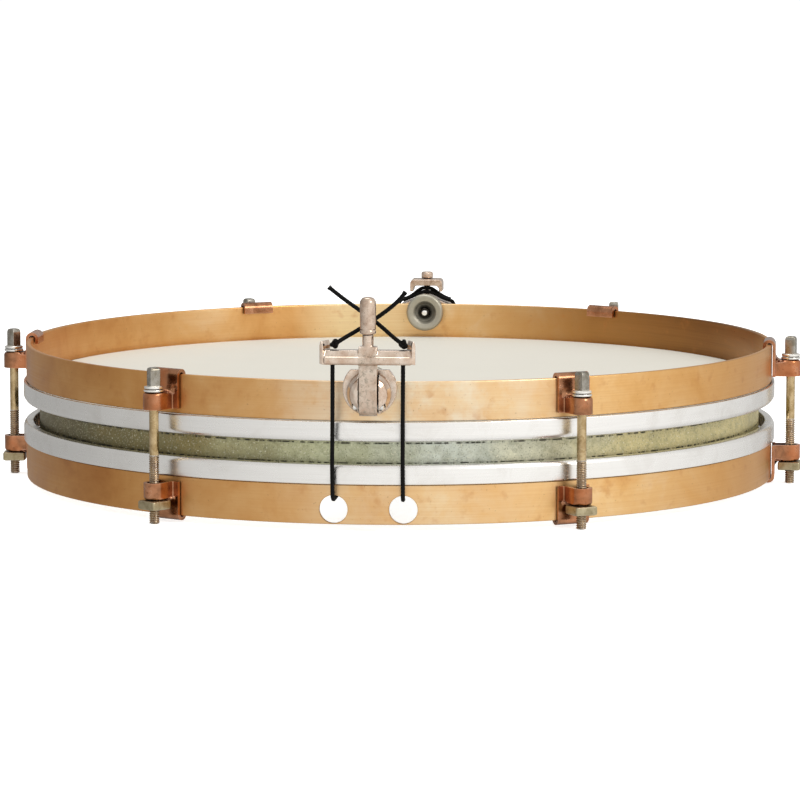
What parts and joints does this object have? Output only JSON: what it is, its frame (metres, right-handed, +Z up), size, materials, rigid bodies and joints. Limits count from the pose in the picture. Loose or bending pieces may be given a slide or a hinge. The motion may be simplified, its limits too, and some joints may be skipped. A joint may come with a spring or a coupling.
{
  "type": "snare drum",
  "caption": "Shallow fourteen-inch snare drum with flat brass hoops, claw-hook tension rods, a lever throw-off and a corded butt.",
  "frame": {"origin": "on the drum's axis, in the plane of the six tension rod ends that the drum stands on", "axes": "+Z up along the drum's axis; -Y towards the throw-off at the front, +Y towards the butt; +X to the right seen from the front"},
  "size_m": [0.398, 0.401, 0.1135],
  "materials": {
    "patinated_shell": "mottled green and olive patina, semi-matt",
    "coated_film": "warm white sprayed coating, finely rough",
    "clear_film": "thin hazy translucent film",
    "flesh_hoop_aluminium": "rolled, satin",
    "hoop_brass": "raw brass, lightly tarnished, satin",
    "claw_copper": "copper-plated sheet, tarnished in the bends",
    "bright_steel": "bright, finely scratched",
    "aged_rod": "plated steel with yellow-brown ageing",
    "aged_nut": "dull plated steel with rounded corners",
    "cast_nickel": "nickel-plated casting, grainy on the arm",
    "satin_nickel": "warm satin nickel",
    "snare_wire": "coiled wire, bright",
    "snare_plate": "thin soldered plate",
    "black_cord": "braided, waxed"
  },
  "bodies": {
    "root": {"shell": "patinated_shell", "batter_head_film": "coated_film", "snare_head_film": "clear_film", "batter_flesh_hoop": "flesh_hoop_aluminium", "snare_flesh_hoop": "flesh_hoop_aluminium", "batter_hoop": "hoop_brass", "snare_hoop": "hoop_brass", "upper_claw_1": "claw_copper", "upper_claw_2": "claw_copper", "upper_claw_3": "claw_copper", "upper_claw_4": "claw_copper", "upper_claw_5": "claw_copper", "upper_claw_6": "claw_copper", "lower_claw_1": "claw_copper", "lower_claw_2": "claw_copper", "lower_claw_3": "claw_copper", "lower_claw_4": "claw_copper", "lower_claw_5": "claw_copper", "lower_claw_6": "claw_copper", "washer_1": "bright_steel", "washer_2": "bright_steel", "washer_3": "bright_steel", "washer_4": "bright_steel", "washer_5": "bright_steel", "washer_6": "bright_steel", "strainer_base": "cast_nickel", "lever_pivot_pin": "bright_steel", "strainer_stud": "bright_steel", "strainer_thumb_nut": "satin_nickel", "butt_saddle": "satin_nickel", "butt_clamp": "satin_nickel", "butt_clamp_screw": "satin_nickel", "butt_stud": "bright_steel", "butt_thumb_nut": "satin_nickel", "front_cord_left": "black_cord", "front_cord_right": "black_cord", "rear_cord_left": "black_cord", "rear_cord_right": "black_cord"},
    "throw_off_lever": {"strainer_lever": "cast_nickel", "lever_grip": "satin_nickel", "cord_end_left": "black_cord", "cord_end_right": "black_cord"},
    "snares": {"snare_strands": "snare_wire", "snare_plate_front": "snare_plate", "snare_plate_rear": "snare_plate"},
    "rod_1": {"tension_rod_1": "aged_rod"},
    "nut_1": {"square_nut_1": "aged_nut"},
    "rod_2": {"tension_rod_2": "aged_rod"},
    "nut_2": {"square_nut_2": "aged_nut"},
    "rod_3": {"tension_rod_3": "aged_rod"},
    "nut_3": {"square_nut_3": "aged_nut"},
    "rod_4": {"tension_rod_4": "aged_rod"},
    "nut_4": {"square_nut_4": "aged_nut"},
    "rod_5": {"tension_rod_5": "aged_rod"},
    "nut_5": {"square_nut_5": "aged_nut"},
    "rod_6": {"tension_rod_6": "aged_rod"},
    "nut_6": {"square_nut_6": "aged_nut"}
  },
  "joints": [
    {"name": "throw_off", "type": "hinge", "parent": "root", "child": "throw_off_lever", "pos_m": [0.001, -0.1935, 0.0589], "axis": [1, 0, 0], "range_deg": [0, 100], "deforming": ["front_cord_left", "front_cord_right"]},
    {"name": "snare_drop", "type": "slide", "parent": "root", "child": "snares", "axis": [0, 0, -1], "range_m": [0, 0.0016]},
    {"name": "rod_1_turn", "type": "hinge", "parent": "root", "child": "rod_1", "pos_m": [0.0967, -0.16749, 0], "axis": [0, 0, 1], "range_deg": [0, 720]},
    {"name": "nut_1_travel", "type": "slide", "parent": "root", "child": "nut_1", "axis": [0, 0, -1], "range_m": [0, 0.0021]},
    {"name": "rod_2_turn", "type": "hinge", "parent": "root", "child": "rod_2", "pos_m": [0.19336, -0.00371, 0], "axis": [0, 0, 1], "range_deg": [0, 720]},
    {"name": "nut_2_travel", "type": "slide", "parent": "root", "child": "nut_2", "axis": [0, 0, -1], "range_m": [0, 0.0021]},
    {"name": "rod_3_turn", "type": "hinge", "parent": "root", "child": "rod_3", "pos_m": [0.10134, 0.16472, 0], "axis": [0, 0, 1], "range_deg": [0, 720]},
    {"name": "nut_3_travel", "type": "slide", "parent": "root", "child": "nut_3", "axis": [0, 0, -1], "range_m": [0, 0.0021]},
    {"name": "rod_4_turn", "type": "hinge", "parent": "root", "child": "rod_4", "pos_m": [-0.09347, 0.16931, 0], "axis": [0, 0, 1], "range_deg": [0, 720]},
    {"name": "nut_4_travel", "type": "slide", "parent": "root", "child": "nut_4", "axis": [0, 0, -1], "range_m": [0, 0.0021]},
    {"name": "rod_5_turn", "type": "hinge", "parent": "root", "child": "rod_5", "pos_m": [-0.19336, 0.00371, 0], "axis": [0, 0, 1], "range_deg": [0, 720]},
    {"name": "nut_5_travel", "type": "slide", "parent": "root", "child": "nut_5", "axis": [0, 0, -1], "range_m": [0, 0.0021]},
    {"name": "rod_6_turn", "type": "hinge", "parent": "root", "child": "rod_6", "pos_m": [-0.10076, -0.16508, 0], "axis": [0, 0, 1], "range_deg": [0, 720]},
    {"name": "nut_6_travel", "type": "slide", "parent": "root", "child": "nut_6", "axis": [0, 0, -1], "range_m": [0, 0.0021]}
  ],
  "couplings": [
    {"joint": "snare_drop", "follows": "throw_off", "m_per_rad": 0.00085944},
    {"joint": "rod_1_turn", "follows": "nut_1_travel", "rad_per_m": 5938.7},
    {"joint": "rod_2_turn", "follows": "nut_2_travel", "rad_per_m": 5938.7},
    {"joint": "rod_3_turn", "follows": "nut_3_travel", "rad_per_m": 5938.7},
    {"joint": "rod_4_turn", "follows": "nut_4_travel", "rad_per_m": 5938.7},
    {"joint": "rod_5_turn", "follows": "nut_5_travel", "rad_per_m": 5938.7},
    {"joint": "rod_6_turn", "follows": "nut_6_travel", "rad_per_m": 5938.7}
  ]
}
